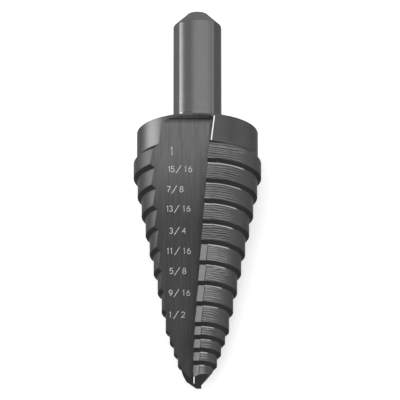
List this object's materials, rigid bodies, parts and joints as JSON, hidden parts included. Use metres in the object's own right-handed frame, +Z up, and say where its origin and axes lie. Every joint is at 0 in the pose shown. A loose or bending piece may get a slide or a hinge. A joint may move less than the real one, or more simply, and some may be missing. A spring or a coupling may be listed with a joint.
{
  "type": "step drill",
  "caption": "Step drill with a split point, stepped lands that widen toward a collar, straight flutes and a three-flat shank, lying on its side.",
  "frame": {"origin": "centre of the bounding box's footprint, on the surface that the drill lies on", "axes": "+Y runs along the drill from the point to the shank, +Z is up from the surface that it lies on, and +X is level across it. The drill's own axis is parallel to the YZ plane and rises 8.7 degrees toward the shank, because the wide end lifts it."},
  "size_m": [0.0252, 0.0782, 0.0243],
  "materials": {
    "tool_steel": "ground, dark oxide"
  },
  "bodies": {
    "root": {"step_drill": "tool_steel"}
  },
  "joints": []
}
